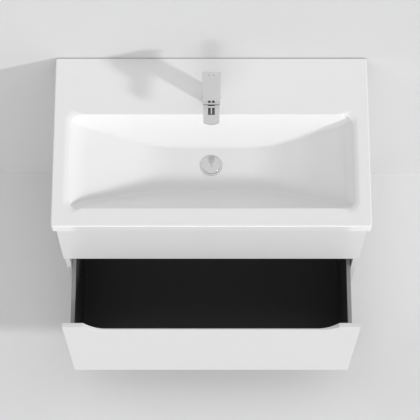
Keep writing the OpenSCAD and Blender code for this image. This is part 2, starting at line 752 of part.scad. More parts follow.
// Lever: a cap that is open below, deeper towards its nose, which ends just above the spout. Two
// cheeks inside it carry the pin.
lever_rear = 17;
lever_rise = 7;
lever_under = pin_up + lever_rise;
skirt_t = 3;
skirt_drop = 8;
nose_gap = 2;
skirt_gap = 1;
cheek_gap = 0.4;
cheek_d = 10;
cheek_drop = 12;
dot_d = 2.2;
dot_step = 12.4;
dot_rear = 9;
dot_deep = 0.8;
module lever_plan(h) linear_extrude(h)
    polygon([[-column_d / 2, lever_rear], [column_d / 2, lever_rear],
             [lever_tip_w / 2, -lever_front], [-lever_tip_w / 2, -lever_front]]);
hollow_w = column_d - 2 * skirt_t - 2 * skirt_gap;
module lever_cheek() translate([post_w / 2 + cheek_gap, -cheek_d / 2, lever_under - cheek_drop])
    cube([skirt_t, cheek_d, cheek_drop]);
module mixer_lever() color(chrome) translate([0, y_mixer, z_column_top]) difference() {
    union() {
        translate([0, 0, lever_under]) lever_plan(lever_t);
        difference() {
            intersection() {
                lever_plan(lever_under);
                rotate([90, 0, 90]) translate([0, 0, -column_d]) linear_extrude(2 * column_d)
                    polygon([[-lever_front, nose_gap], [lever_rear, lever_under - skirt_drop],
                             [lever_rear, lever_under], [-lever_front, lever_under]]);
            }
            linear_extrude(lever_under)
                polygon([[-hollow_w / 2, lever_rear - skirt_t], [hollow_w / 2, lever_rear - skirt_t],
                         [lever_tip_w / 2 - skirt_t, -lever_front + skirt_t],
                         [-lever_tip_w / 2 + skirt_t, -lever_front + skirt_t]]);
        }
        both_sides() lever_cheek();
    }
    translate([-pin_l / 2, 0, pin_up]) rod_x(pin_d, pin_l);
    for (s = [-1, 1])
        translate([s * dot_step / 2, lever_rear - dot_rear, lever_under + lever_t - dot_deep])
            cylinder(h = dot_deep + cut, d = dot_d, $fn = 32);
}
pin_l = post_w + 2 * cheek_gap + 2 * skirt_t;
module lever_pin() color(steel) translate([-pin_l / 2, y_mixer, z_pivot]) rod_x(pin_d, pin_l);

// Waste: flange, threaded body with a guide for the plug, gaskets and nut
z_seat = z_drain - seat_depth;
flange_t = 3;
seal_t = 1;
waste_l = 62;
waste_wall = 3;
guide_t = 6;
guide_w = 6;
guide_hub_d = 16;
guide_drop = 26;
plug_stem_d = 8;
cap_in = 2;
cap_gap = 1;
module waste_body() color(chrome) translate([0, y_drain, 0]) difference() {
    union() {
        translate([0, 0, z_seat + seal_t]) cylinder(h = flange_t, d = flange_d);
        translate([0, 0, z_seat + seal_t - waste_l]) cylinder(h = waste_l, d = waste_d);
    }
    translate([0, 0, z_seat + seal_t + flange_t - cap_in])
        cylinder(h = flange_t + cap_in, d = cap_d + 2 * cap_gap);
    difference() {
        translate([0, 0, z_seat - waste_l]) cylinder(h = 2 * waste_l, d = waste_d - 2 * waste_wall);
        translate([0, 0, z_seat - guide_drop]) difference() {
            union() {
                block([-waste_d / 2, -guide_w / 2, 0], [waste_d / 2, guide_w / 2, guide_t]);
                block([-guide_w / 2, -waste_d / 2, 0], [guide_w / 2, waste_d / 2, guide_t]);
                cylinder(h = guide_t, d = guide_hub_d);
            }
            translate([0, 0, -cut]) cylinder(h = guide_t + 2 * cut, d = plug_stem_d + screw_fit);
        }
    }
}
module waste_seal() color(rubber) translate([0, y_drain, z_seat]) difference() {
    cylinder(h = seal_t, d = flange_d - cut);
    translate([0, 0, -cut]) cylinder(h = seal_t + 2 * cut, d = waste_d + drop_fit);
}
waste_gasket_t = 3;
waste_nut_h = 9;
module waste_gasket() color(rubber) translate([0, y_drain, z_boss - waste_gasket_t]) difference() {
    cylinder(h = waste_gasket_t, d = flange_d);
    translate([0, 0, -cut]) cylinder(h = waste_gasket_t + 2 * cut, d = waste_d + drop_fit);
}
module waste_nut() color([0.8, 0.68, 0.36])
    translate([0, y_drain, z_boss - waste_gasket_t - waste_nut_h]) difference() {
        cylinder(h = waste_nut_h, d = flange_d);
        translate([0, 0, -cut]) cylinder(h = waste_nut_h + 2 * cut, d = waste_d + screw_fit);
    }
// Plug: a cap that lies in the flange, its seal and its stem
cap_t = 3;
plug_seal_t = 1.2;
z_cap = z_seat + seal_t + flange_t - cap_in + plug_seal_t;
stem_end = 6;
module plug_cap() color(chrome) translate([0, y_drain, z_cap]) cylinder(h = cap_t, d = cap_d);
module plug_seal() color(rubber) translate([0, y_drain, z_cap - plug_seal_t + clear]) difference() {
    cylinder(h = plug_seal_t - clear, d = cap_d - 2 * cap_gap);
    translate([0, 0, -cut]) cylinder(h = plug_seal_t + 2 * cut, d = plug_stem_d);
}
module plug_stem() color(steel) translate([0, y_drain, z_seat - guide_drop - stem_end])
    cylinder(h = z_cap - z_seat + guide_drop + stem_end, d = plug_stem_d);

// Trap: tailpiece into the bottle, outlet pipe to the wall, union nuts, and the cup that unscrews
pipe_wall = 2;
z_waste_end = z_seat + seal_t - waste_l;
trap_over = 10;
z_trap_top = outlet_z + pipe_d / 2 + trap_over;
z_trap_low = outlet_z - pipe_d / 2 - trap_over;
tail_in = 40;
tail_up = 12;
trap_wall = 3;
trap_neck = 14;
outlet_gap = 1;
trap_nut_h = 14;
trap_nut_rim = 10;
module tube(h, d, wall) difference() {
    cylinder(h = h, d = d);
    translate([0, 0, -cut]) cylinder(h = h + 2 * cut, d = d - 2 * wall);
}
module tailpiece() color(chrome) translate([0, y_drain, z_trap_top - tail_in])
    tube(z_waste_end - z_trap_top + tail_in + tail_up, pipe_d, pipe_wall);
module trap_body() color(chrome) difference() {
    union() {
        translate([0, y_drain, z_trap_low]) cylinder(h = z_trap_top - z_trap_low, d = bottle_d);
        translate([0, y_drain, outlet_z]) rod_y(pipe_d + 2 * trap_wall, bottle_d / 2 + trap_neck);
    }
    translate([0, y_drain, z_trap_low - cut])
        cylinder(h = z_trap_top - z_trap_low + cut - trap_wall, d = bottle_d - 2 * trap_wall);
    translate([0, y_drain, z_trap_low]) cylinder(h = z_trap_top, d = pipe_d + 2 * screw_fit);
    translate([0, y_drain, outlet_z]) rod_y(pipe_d + 2 * screw_fit, bottle_d);
}
cup_h = 38;
cup_rim = 2;
module trap_cup() color(chrome) translate([0, y_drain, z_trap_low - cup_h]) difference() {
    cylinder(h = cup_h, d = bottle_d + 2 * cup_rim);
    translate([0, 0, trap_wall]) cylinder(h = cup_h, d = bottle_d - 2 * trap_wall);
}
// The outlet pipe has a rolled bead that stops the wall connector in front of the nut
bead_l = 3;
bead_rim = 1;
y_bead = y_drain + bottle_d / 2 + trap_neck + trap_nut_h + outlet_gap;
module trap_outlet() color(chrome) {
    translate([0, y_drain + bottle_d / 2 + outlet_gap, outlet_z])
        rotate([-90, 0, 0]) tube(y_wall - y_drain - bottle_d / 2 - outlet_gap, pipe_d, pipe_wall);
    translate([0, y_bead, outlet_z])
        rotate([-90, 0, 0]) tube(bead_l, pipe_d + 2 * bead_rim, pipe_wall + bead_rim);
}
module trap_nut() difference() {
    cylinder(h = trap_nut_h, d = pipe_d + 2 * trap_nut_rim);
    translate([0, 0, -cut]) cylinder(h = trap_nut_h + 2 * cut, d = pipe_d + 2 * screw_fit);
}
module trap_nuts() color(chrome) {
    translate([0, y_drain, z_waste_end - trap_nut_h]) trap_nut();
    translate([0, y_drain, z_trap_top]) trap_nut();
    translate([0, y_drain + bottle_d / 2 + trap_neck, outlet_z]) rotate([-90, 0, 0]) trap_nut();
}

basin();
sealant_strips();
side_panel_left();
side_panel_right();
bottom_panel();
front_rail();
upper_back_rail();
lower_back_rail();
cam_locks();
cam_bolts();
dowels();
wall_brackets();
front_bumpers();
leg_plates();
legs();
leg_feet();
mixer_body();
mixer_gasket();
mixer_stud();
mixer_clamp();
mixer_nut();
mixer_cartridge();
cartridge_nut();
aerator();
lever_carrier();
mixer_lever();
lever_pin();
waste_body();
waste_gasket();
waste_seal();
waste_nut();
plug_cap();
plug_seal();
plug_stem();
tailpiece();
trap_nuts();
trap_body();
trap_cup();
trap_outlet();
upper_front();
upper_side_left();
upper_side_right();
upper_bottom();
upper_backs();
upper_shield();
upper_brackets();
upper_drawer_runners();
upper_middle_runners();
upper_cabinet_runners();
lower_front();
lower_side_left();
lower_side_right();
lower_bottom();
lower_back();
lower_brackets();
lower_drawer_runners();
lower_middle_runners();
lower_cabinet_runners();
drawer_edges_upper();
drawer_edges_lower();
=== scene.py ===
# A white freestanding bathroom vanity: ceramic basin, cabinet with two drawers, chrome mixer.
# Metres, +Z up, the floor at Z = 0, +Y towards the wall. The pieces' own sizes are in mm.
import math

import bmesh
import bpy
import numpy as np
from mathutils import Matrix, Vector


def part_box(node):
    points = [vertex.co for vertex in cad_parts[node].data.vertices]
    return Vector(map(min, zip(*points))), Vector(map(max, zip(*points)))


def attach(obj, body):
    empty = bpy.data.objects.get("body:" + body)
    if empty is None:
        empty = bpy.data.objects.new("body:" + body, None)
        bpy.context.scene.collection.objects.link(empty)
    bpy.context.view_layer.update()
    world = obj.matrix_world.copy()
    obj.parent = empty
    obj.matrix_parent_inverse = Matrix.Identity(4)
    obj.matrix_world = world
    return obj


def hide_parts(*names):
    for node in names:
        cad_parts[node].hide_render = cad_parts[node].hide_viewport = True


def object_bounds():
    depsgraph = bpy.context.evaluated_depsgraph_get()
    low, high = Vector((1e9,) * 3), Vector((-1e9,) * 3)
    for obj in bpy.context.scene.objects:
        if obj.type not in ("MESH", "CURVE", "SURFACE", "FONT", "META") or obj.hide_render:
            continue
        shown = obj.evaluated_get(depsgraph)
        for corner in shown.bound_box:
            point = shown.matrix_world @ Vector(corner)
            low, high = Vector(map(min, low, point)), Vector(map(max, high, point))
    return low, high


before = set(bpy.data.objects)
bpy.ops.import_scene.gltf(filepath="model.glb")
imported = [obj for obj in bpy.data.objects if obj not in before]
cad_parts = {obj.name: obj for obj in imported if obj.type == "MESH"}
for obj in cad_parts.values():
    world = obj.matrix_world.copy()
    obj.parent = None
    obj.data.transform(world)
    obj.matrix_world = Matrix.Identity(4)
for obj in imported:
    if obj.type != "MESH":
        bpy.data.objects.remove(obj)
cad_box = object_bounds()
MM = 0.001

# Camera: it looks steeply down on the vanity from in front, a little left of its middle. Its
# lens follows from a focal length in pixels of a square picture.
picture_px, focal_px, look_down = 420, 1710, 70.67
camera = bpy.data.objects.new("camera", bpy.data.cameras.new("camera"))
bpy.context.scene.collection.objects.link(camera)
camera.data.sensor_width = 36.0
camera.data.lens = 36.0 * focal_px / picture_px
camera.data.clip_end = 50.0
camera.location = (-0.0034, -1.5053, 4.8745)
camera.rotation_euler = (math.radians(90 - look_down), 0, 0)
bpy.context.scene.camera = camera
bpy.context.scene.view_settings.view_transform = "Standard"


# Basin: one slip-cast ceramic body with a sanitary glaze. A long bowl whose floor falls from
# both ends to a round valley at the drain, a rim, a flat deck behind the bowl, and a shell
# underneath with a hollow under the deck. The holes are cut before firing.
def finish(name, colour, rough, metal=0.0, coat=0.0, grain=None, peel=None, mottle=0.0, uneven=0.0):
    """A finish: its colour, gloss, fine relief (size, depth) and slight unevenness."""
    made = bpy.data.materials.new(name)
    made.use_nodes = True
    tree = made.node_tree
    shader = tree.nodes["Principled BSDF"]
    shader.inputs["Base Color"].default_value = (*colour, 1)
    shader.inputs["Metallic"].default_value = metal
    shader.inputs["Roughness"].default_value = rough
    shader.inputs["Coat Weight"].default_value = coat
    shader.inputs["Coat Roughness"].default_value = 0.04
    place = tree.nodes.new("ShaderNodeTexCoord").outputs["Object"]
    if grain:
        lay = tree.nodes.new("ShaderNodeMapping")
        lay.inputs["Scale"].default_value = grain
        tree.links.new(place, lay.inputs["Vector"])
        place = lay.outputs["Vector"]
    cloud = tree.nodes.new("ShaderNodeTexNoise")
    cloud.inputs["Scale"].default_value = 14
    cloud.inputs["Detail"].default_value = 6
    tree.links.new(place, cloud.inputs["Vector"])
    if mottle:
        tone = tree.nodes.new("ShaderNodeMix")
        tone.data_type = "RGBA"
        tone.inputs["A"].default_value = (*[c * (1 - mottle) for c in colour], 1)
        tone.inputs["B"].default_value = (*[min(1, c * (1 + mottle)) for c in colour], 1)
        tree.links.new(cloud.outputs["Fac"], tone.inputs["Factor"])
        tree.links.new(tone.outputs["Result"], shader.inputs["Base Color"])
    if uneven:
        gloss = tree.nodes.new("ShaderNodeMapRange")
        gloss.inputs["To Min"].default_value = max(0, rough - uneven)
        gloss.inputs["To Max"].default_value = rough + uneven
        tree.links.new(cloud.outputs["Fac"], gloss.inputs["Value"])
        tree.links.new(gloss.outputs["Result"], shader.inputs["Roughness"])
    if peel:
        size, depth = peel
        skin = tree.nodes.new("ShaderNodeTexNoise")
        skin.inputs["Scale"].default_value = 1 / size
        skin.inputs["Detail"].default_value = 2
        relief = tree.nodes.new("ShaderNodeBump")
        relief.inputs["Distance"].default_value = depth
        relief.inputs["Strength"].default_value = 1.0
        tree.links.new(place, skin.inputs["Vector"])
        tree.links.new(skin.outputs["Fac"], relief.inputs["Height"])
        tree.links.new(relief.outputs["Normal"], shader.inputs["Normal"])
    return made


def object_of(name, mesh):
    """A new object at the origin that holds the mesh."""
    made = bpy.data.objects.new(name, mesh)
    bpy.context.scene.collection.objects.link(made)
    return made


def settle(piece):
    """Turns the piece with its modifiers into one plain mesh."""
    depsgraph = bpy.context.evaluated_depsgraph_get()
    mesh = bpy.data.meshes.new_from_object(piece.evaluated_get(depsgraph))
    piece.modifiers.clear()
    piece.data = mesh
    return piece


def rounded(piece, angle):
    """Smooth shading that keeps the flats flat, and the edges that are sharper than the angle."""
    mesh = piece.data
    mesh.polygons.foreach_set("use_smooth", [True] * len(mesh.polygons))
    mesh.set_sharp_from_angle(angle=math.radians(angle))
    even = piece.modifiers.new("even", "WEIGHTED_NORMAL")
    even.keep_sharp = True
    return settle(piece)


def fit(piece, body, slot, material, *nodes):
    """Gives the piece its finish, its body and the nodes that it stands for."""
    piece.data.materials.clear()
    piece.data.materials.append(material)
    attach(piece, body)
    if nodes:
        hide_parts(*nodes)
    return piece


def box_mm(node):
    """The node's lowest and highest corners, in mm."""
    return [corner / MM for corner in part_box(node)]


def middle_mm(node):
    """The middle of the node's box, in mm."""
    return sum(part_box(node), Vector()) / 2 / MM


basin_low, basin_high = box_mm("basin")
front, rear, top, half_width = basin_low.y, basin_high.y, basin_high.z, basin_high.x
side_rim, front_rim, deck = 41, 48, 157
rim_height, ceramic, deck_extra, outer_r, corner_r = 37.0, 10.0, 2, 6.0, 28.0
bowl_half, bowl_front, bowl_rear = half_width - side_rim, front + front_rim, rear - deck
deepest, level_half, bend_r, cove_r, cove_over = 93.0, 105.0, 260.0, 70.0, 27.0
front_lean, rear_lean, lip_lean = math.radians(40), math.radians(25), math.radians(56)
fold_reach, rear_reach, steep_reach = 11, 12, 5
rim_r, rim_steps, side_rise = 42, 10, 1.6
cove_x = bowl_half - math.sqrt(cove_r**2 - cove_over**2)
bend_over = bend_r - deepest
floor_slope = math.asin((bend_r - cove_r) / math.hypot(cove_x - level_half, bend_over - cove_over))
floor_slope -= math.atan2(bend_over - cove_over, cove_x - level_half)


def soft_min(a, b, reach):
    """The smaller of the two, with the crease where they meet rounded over that reach."""
    near = np.maximum(reach - np.abs(a - b), 0) / reach
    return np.minimum(a, b) - near * near * reach / 4


def soft_max(a, b, reach):
    return -soft_min(-a, -b, reach)


def inside_by(x, y, half_x, y_from, y_to, r):
    """How far a point lies inside a rectangle with round corners."""
    over = np.abs(x) - (half_x - r)
    across = np.abs(y - (y_from + y_to) / 2) - ((y_to - y_from) / 2 - r)
    outside = np.hypot(np.maximum(over, 0), np.maximum(across, 0))
    return r - outside - np.minimum(np.maximum(over, across), 0)


def long_depth(x, wall):
    """Depth along the bowl: level floor, bend, straight slope, cove and the end's soft lip."""
    bend, cove = bend_r + wall, cove_r + wall
    bend_l, cove_start = bend * math.sin(floor_slope), cove_x + cove * math.sin(floor_slope)
    lip_start = cove_x + cove * math.sin(lip_lean)
    straight = np.maximum(x - level_half - bend_l, 0) * math.tan(floor_slope)
    floor = np.sqrt(bend**2 - np.clip(x - level_half, 0, bend_l) ** 2) - bend_over - straight
    end = np.sqrt(cove**2 - (np.clip(x, cove_start, lip_start) - cove_x) ** 2) - cove_over
    lip = end - np.maximum(x - lip_start, 0) * math.tan(lip_lean)
    return np.where(x < cove_start, floor, lip)


def bowl_depth(x, y, wall=0.0):
    """Depth of the bowl below the top, grown by the wall's thickness for its underside."""
    x = np.abs(x)
    to_front = (y - bowl_front + wall / math.cos(front_lean)) / math.tan(front_lean)
    to_rear = (bowl_rear + wall / math.cos(rear_lean) - y) / math.tan(rear_lean)
    into = inside_by(x, y, bowl_half + wall, bowl_front - wall, bowl_rear + wall, corner_r + wall)
    steep = np.sqrt(np.maximum(rim_r**2 - (rim_r - np.clip(into, 0, rim_steps)) ** 2, 0))
    steep = np.where(into < 0, into, steep + np.maximum(into - rim_steps, 0) * side_rise)
    depth = soft_min(soft_min(to_front, long_depth(x, wall), fold_reach), to_rear, rear_reach)
    return soft_min(depth, steep, steep_reach)


def spread(*stretches):
    """Places along an edge: each stretch is (from, to, how many steps)."""
    places = [np.linspace(a, b, n, endpoint=False) for a, b, n in stretches]
    return np.concatenate(places + [[stretches[-1][1]]])


# The casting's grid lines lie close where it turns: inwards from its outer edge, from the deck
# into the bowl, and on both sides of the wall of the hollow under the deck. Between these they
# are spread evenly.
at_edge = np.array([0, 0.2, 0.6, 1.2, 2.0, 3.0])
at_rim = np.array([-4, -3, -2, -1.2, -0.5, 0, 0.4, 1, 2, 3.5, 5.5, 8, 11, 15, 19, 23.5, 28])
at_wall = np.array([-0.5, 0.5])
rear_wall, side_wall, even_half = 20, 31, 300
hollow_half = half_width - side_wall
hollow_from, hollow_to = bowl_rear + 2 * ceramic, rear - rear_wall
half_x = np.unique(np.round(np.concatenate([
    spread((0, even_half, 36), (even_half, bowl_half - at_rim[-1], 6)),
    bowl_half - at_rim[::-1],
    spread((bowl_half + 4, bowl_half + 20, 8)),
    hollow_half + at_wall,
    spread((bowl_half + 24, half_width - 4, 4)),
    half_width - at_edge,
]), 3))
x_lines = np.concatenate([-half_x[:0:-1], half_x])
y_lines = np.unique(np.round(np.concatenate([
    front + at_edge,
    spread((front + 3.5, front + 43, 12)),
    bowl_front + at_rim,
    spread((bowl_front + 31, bowl_rear - 31, 38)),
    bowl_rear - at_rim[::-1],
    spread((bowl_rear + 5, hollow_from - 1, 4)),
    hollow_from + at_wall,
    spread((hollow_from + 4, hollow_to - 3, 12)),
    hollow_to + at_wall,
    spread((hollow_to + 2, rear - 3.5, 5)),
    rear - at_edge[::-1],
]), 3))
X, Y = np.meshgrid(x_lines, y_lines, indexing="ij")


def turn_corner(x, y, at_x, at_y, r, fade):
    """Bends the square grid round an upright corner of that radius."""
    side, way = math.copysign(1, at_x), math.copysign(1, at_y - (front + rear) / 2)
    u, v = (x - at_x) * side, (y - at_y) * way
    inside = (u > 0) & (v > 0)
    u, v = np.where(inside, u, 1), np.where(inside, v, 1)
    reach = np.maximum(u, v)
    keep = np.clip((reach - r) / fade, 0, 1)
    bent_u = u * np.sqrt(1 - v**2 / (2 * reach**2))
    bent_v = v * np.sqrt(1 - u**2 / (2 * reach**2))
    bent_u, bent_v = bent_u + (u - bent_u) * keep, bent_v + (v - bent_v) * keep
    return np.where(inside, at_x + side * bent_u, x), np.where(inside, at_y + way * bent_v, y)


bowl_fade, outer_fade = 25, 1
for side in (-1, 1):
    for at_y in (bowl_front + corner_r, bowl_rear - corner_r):
        X, Y = turn_corner(X, Y, side * (bowl_half - corner_r), at_y, corner_r, bowl_fade)
    for at_y in (front + outer_r, rear - outer_r):
        X, Y = turn_corner(X, Y, side * (half_width - outer_r), at_y, outer_r, outer_fade)

# The top rolls into the bowl, more softly at its ends, and both outer edges are rounded.
edge_r, foot_r, side_roll, end_roll, end_from, end_reach = 3, 0.6, 3, 17, 38, 30
from_edge = np.clip(inside_by(X, Y, half_width, front, rear, outer_r), 0, edge_r)
toward_end = np.clip((np.abs(X) - (bowl_half - end_from)) / end_reach, 0, 1)
roll = side_roll + end_roll * toward_end**2 * (3 - 2 * toward_end)
upper = top - soft_max(bowl_depth(X, Y), np.zeros_like(X), roll)
upper -= edge_r - np.sqrt(edge_r**2 - (edge_r - from_edge) ** 2)
lower = np.minimum(top - rim_height, top - bowl_depth(X, Y, ceramic))
hollow = (np.abs(X) < hollow_half) & (Y > hollow_from) & (Y < hollow_to)
lower = np.where(hollow, top - ceramic - deck_extra, lower)
low_edge = np.clip(from_edge, 0, foot_r)
lower += foot_r - np.sqrt(foot_r**2 - (foot_r - low_edge) ** 2)

nx, ny = X.shape
sheets = [np.stack([X, Y, sheet], -1).reshape(-1, 3) for sheet in (upper, lower)]
points = np.concatenate(sheets) * MM
number = np.arange(nx * ny).reshape(nx, ny)
quads = np.stack([number[:-1, :-1], number[1:, :-1], number[1:, 1:], number[:-1, 1:]], -1)
quads = quads.reshape(-1, 4)
loop = np.concatenate([number[:-1, 0], number[-1, :-1], number[:0:-1, -1], number[0, :0:-1]])
after = np.roll(loop, -1)
walls = np.stack([loop + nx * ny, after + nx * ny, after, loop], -1)
faces = np.concatenate([quads, quads[:, ::-1] + nx * ny, walls])
mesh = bpy.data.meshes.new("basin_glazed")
mesh.from_pydata(points.tolist(), [], faces.tolist())
basin = object_of("basin_glazed", mesh)


def punch(at, radius, low, high):
    """A round punch for a hole in the soft clay, from one height to another over the top."""
    shape = bmesh.new()
    bmesh.ops.create_cone(shape, cap_ends=True, segments=96, radius1=radius * MM,
                          radius2=radius * MM, depth=(high - low) * MM)
    shape.transform(Matrix.Translation((at.x * MM, at.y * MM, (top + (low + high) / 2) * MM)))
    made = bpy.data.meshes.new("punch")
    shape.to_mesh(made)
    shape.free()
    return object_of("punch", made)


drain, tap = middle_mm("plug_cap"), middle_mm("mixer_gasket")
boss_r, flange_r, drain_r, tap_r = 37.5, 28.8, 22.5, 17.5
punches = [
    ("UNION", punch(drain, boss_r, -117, -100)),
    ("DIFFERENCE", punch(drain, flange_r, -96, -60)),
    ("DIFFERENCE", punch(drain, drain_r, -130, -60)),
    ("DIFFERENCE", punch(tap, tap_r, -50, 10)),
]
for operation, tool in punches:
    cut = basin.modifiers.new("punch", "BOOLEAN")
    cut.operation, cut.object, cut.solver = operation, tool, "EXACT"
settle(basin)
for operation, tool in punches:
    bpy.data.objects.remove(tool)
glaze = finish("sanitary_glaze", (0.80, 0.80, 0.805), 0.12, coat=0.25,
               peel=(0.035, 0.00006), mottle=0.008, uneven=0.02)
fit(rounded(basin, 40), "cabinet", "ceramic", glaze, "basin")


# Cabinet: boards with a white satin lacquer all round, joined with cam locks and dowels.
# The edges are eased by sanding before the lacquer. The basin stands on its sides in sealant.
def eased(node, width, body, slot, material, segments=2):
    """The node's own form with its edges eased or rounded off by that width."""
    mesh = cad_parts[node].data.copy()
    shape = bmesh.new()
    shape.from_mesh(mesh)
    bmesh.ops.remove_doubles(shape, verts=shape.verts, dist=0.01 * MM)
    bmesh.ops.dissolve_limit(shape, angle_limit=math.radians(1), verts=shape.verts,
                             edges=shape.edges)
    shape.to_mesh(mesh)
    shape.free()
    piece = object_of(node + "_eased", mesh)
    bevel = piece.modifiers.new("ease", "BEVEL")
    bevel.width, bevel.segments = width * MM, segments
    bevel.limit_method, bevel.angle_limit = "ANGLE", math.radians(35)
    bevel.use_clamp_overlap = True
    bevel.miter_outer = "MITER_ARC"
    return fit(rounded(settle(piece), 32), body, slot, material, node)


lacquer = finish("white_satin_lacquer", (0.665, 0.665, 0.67), 0.42,
                 peel=(0.006, 0.00001), mottle=0.006, uneven=0.05)
for board in ("side_panel_left", "side_panel_right", "bottom_panel", "front_rail",
              "upper_back_rail", "lower_back_rail"):
    eased(board, 0.7, "cabinet", "lacquer", lacquer)
sealant = finish("sanitary_sealant", (0.80, 0.80, 0.78), 0.45, peel=(0.004, 0.0001), mottle=0.02)
eased("sealant_strips", 0.3, "cabinet", "sealant", sealant)
zinc = finish("bright_zinc", (0.60, 0.61, 0.63), 0.32, metal=1.0,
              grain=(60, 4, 60), mottle=0.10, uneven=0.08)
for part in ("cam_locks", "cam_bolts", "wall_brackets"):
    eased(part, 0.4, "cabinet", "zinc", zinc)
beech = finish("beech_dowel", (0.55, 0.36, 0.19), 0.7,
               grain=(6, 80, 80), mottle=0.25, peel=(0.002, 0.0001))
eased("dowels", 0.8, "cabinet", "beech", beech)
black_rubber = finish("black_rubber", (0.025, 0.025, 0.026), 0.75,
                      peel=(0.0015, 0.00008), mottle=0.15)
eased("front_bumpers", 0.4, "cabinet", "rubber", black_rubber, segments=3)

# Legs: chromed steel tube on a pressed plate that is screwed under the bottom, with a rubber
# foot on a threaded spindle for levelling. Screws also hold the brackets to the wall.
chrome = finish("chrome_plating", (0.81, 0.81, 0.812), 0.06, metal=1.0,
                peel=(0.03, 0.00003), mottle=0.015, uneven=0.03)
eased("legs", 1.2, "cabinet", "leg_metal", chrome, segments=3)
eased("leg_plates", 0.6, "cabinet", "zinc", zinc)
eased("leg_feet", 1.5, "cabinet", "rubber", black_rubber, segments=3)


def studding_tree():
    """Sets one tapered stub on every place that it is given, pointing the way of its aim."""
    tree = bpy.data.node_groups.new("studding", "GeometryNodeTree")
    for name, way, kind in (("Places", "INPUT", "Geometry"), ("Foot radius", "INPUT", "Float"),
                            ("Top radius", "INPUT", "Float"), ("Height", "INPUT", "Float"),
                            ("Sides", "INPUT", "Int"), ("Finish", "INPUT", "Material"),
                            ("Studs", "OUTPUT", "Geometry")):
        tree.interface.new_socket(name=name, in_out=way, socket_type="NodeSocket" + kind)
    given = tree.nodes.new("NodeGroupInput")
    made = tree.nodes.new("NodeGroupOutput")
    stub = tree.nodes.new("GeometryNodeMeshCone")
    aim = tree.nodes.new("GeometryNodeInputNamedAttribute")
    aim.data_type = "FLOAT_VECTOR"
    aim.inputs["Name"].default_value = "aim"
    turn = tree.nodes.new("FunctionNodeAlignRotationToVector")
    turn.axis = "Z"
    on = tree.nodes.new("GeometryNodeInstanceOnPoints")
    whole = tree.nodes.new("GeometryNodeRealizeInstances")
    dress = tree.nodes.new("GeometryNodeSetMaterial")
    tree.links.new(given.outputs["Sides"], stub.inputs["Vertices"])
    tree.links.new(given.outputs["Top radius"], stub.inputs["Radius Top"])
    tree.links.new(given.outputs["Foot radius"], stub.inputs["Radius Bottom"])
    tree.links.new(given.outputs["Height"], stub.inputs["Depth"])
    tree.links.new(aim.outputs["Attribute"], turn.inputs["Vector"])
    tree.links.new(given.outputs["Places"], on.inputs["Points"])
    tree.links.new(stub.outputs["Mesh"], on.inputs["Instance"])
    tree.links.new(turn.outputs["Rotation"], on.inputs["Rotation"])
    tree.links.new(on.outputs["Instances"], whole.inputs["Geometry"])
    tree.links.new(whole.outputs["Geometry"], dress.inputs["Geometry"])
    tree.links.new(given.outputs["Finish"], dress.inputs["Material"])
    tree.links.new(dress.outputs["Geometry"], made.inputs["Studs"])
    return tree


studding = studding_tree()


def studs(name, places, stub, body, slot, material):
    """Screw heads or ribs at the places, each a point and the way it points.

    The stub is given by its radius at the foot and at the top, its height and its sides."""
    mesh = bpy.data.meshes.new(name)
    mesh.from_pydata([Vector(at) * MM for at, aim in places], [], [])
    aims = mesh.attributes.new("aim", "FLOAT_VECTOR", "POINT")
    aims.data.foreach_set("vector", [number for at, aim in places for number in aim])
    piece = object_of(name, mesh)
    modifier = piece.modifiers.new("studding", "NODES")
    modifier.node_group = studding
    foot_r, top_r, height, sides = stub
    given = {"Foot radius": foot_r * MM, "Top radius": top_r * MM, "Height": height * MM,
             "Sides": sides, "Finish": material}
    for socket in studding.interface.items_tree:
        if socket.name in given:
            modifier[socket.identifier] = given[socket.name]
    settle(piece)
    return fit(rounded(piece, 40), body, slot, material)


leg_r, plate_screw, plate_head = 20, 22, (3.8, 2.4, 1.8, 16)
legs_low, legs_high = box_mm("legs")
plate_under = box_mm("leg_plates")[0].z
leg_screws = []
for side in (-1, 1):
    for y in (legs_low.y + leg_r, legs_high.y - leg_r):
        for u in (-plate_screw, plate_screw):
            for v in (-plate_screw, plate_screw):
                at = (side * (legs_high.x - leg_r) + u, y + v, plate_under)
                leg_screws.append((at, (0, 0, -1)))
studs("leg_screws", leg_screws, plate_head, "cabinet", "zinc", zinc)

bracket_mid, bracket_sheet, screw_below, screw_behind = 20, 2, 21, 6
bracket_head = (5.0, 3.4, 2.2, 16)
bracket_low, bracket_high = box_mm("wall_brackets")
wall_screws = []
for side in (-1, 1):
    x = side * (bracket_high.x - bracket_mid)
    to_wall = (x, bracket_high.y - bracket_sheet, bracket_high.z - screw_below)
    to_rail = (x, bracket_low.y + screw_behind, bracket_high.z - bracket_sheet)
    wall_screws += [(to_wall, (0, -1, 0)), (to_rail, (0, 0, -1))]
studs("wall_bracket_screws", wall_screws, bracket_head, "cabinet", "zinc", zinc)

# Runners: cold-rolled zinc-plated channels that telescope under the drawer sides, with steel
# balls in pressed cages between them.
for level in ("upper", "lower"):
    eased(level + "_cabinet_runners", 0.3, "cabinet", "zinc", zinc)
    eased(level + "_middle_runners", 0.3, level + "_slide", "zinc", zinc)
    eased(level + "_drawer_runners", 0.3, level + "_drawer", "zinc", zinc)

